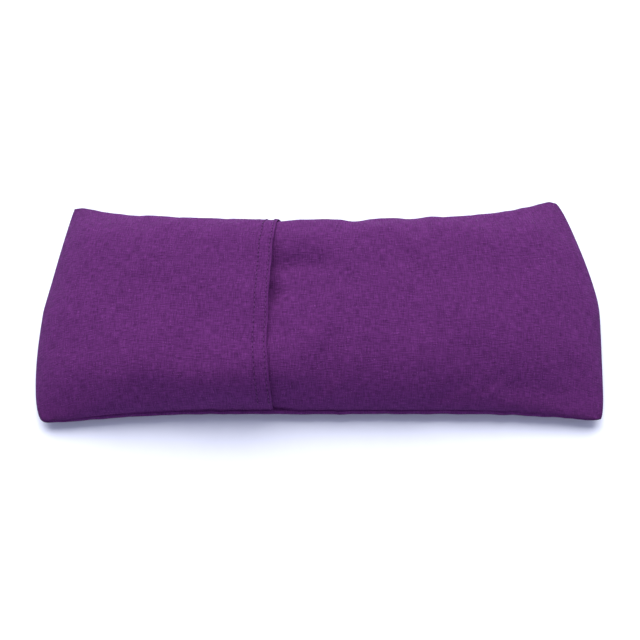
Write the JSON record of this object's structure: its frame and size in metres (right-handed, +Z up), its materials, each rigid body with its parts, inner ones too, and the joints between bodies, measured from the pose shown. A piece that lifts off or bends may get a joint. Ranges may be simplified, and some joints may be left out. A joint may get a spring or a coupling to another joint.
{
  "type": "eye pillow",
  "caption": "Weighted eye pillow: a seed-filled insert bag in a removable linen cover with an overlapping flap opening on top.",
  "frame": {"origin": "under the middle of the pillow, on the surface that it rests on", "axes": "+X along the length, from the folded end under the flap towards the other folded end; +Y across the width; +Z up"},
  "size_m": [0.231, 0.1067, 0.027],
  "materials": {
    "cover_cloth": "matte",
    "cover_thread": "satin",
    "bag_cloth": "matte",
    "bag_thread": "satin",
    "seed_fill": "satin"
  },
  "bodies": {
    "cover": {"cover_strip": "cover_cloth", "panel_edge_stitch": "cover_thread", "panel_hem_stitch": "cover_thread", "side_seam_front": "cover_thread", "side_seam_back": "cover_thread"},
    "flap": {"flap_lip": "cover_cloth", "flap_edge_stitch": "cover_thread", "flap_hem_stitch": "cover_thread"},
    "insert": {"insert_bag_upper": "bag_cloth", "insert_bag_lower": "bag_cloth", "insert_seam": "bag_thread", "insert_closing_stitch": "bag_thread", "flax_and_lavender_fill": "seed_fill"}
  },
  "joints": [
    {"name": "flap_lift", "type": "hinge", "parent": "cover", "child": "flap", "pos_m": [-0.062, 0, 0.02511], "axis": [0, -1, 0], "range_deg": [0, 15]},
    {"name": "insert_shift", "type": "slide", "parent": "cover", "child": "insert", "axis": [1, 0, 0], "range_m": [-0.002, 0.002]}
  ]
}
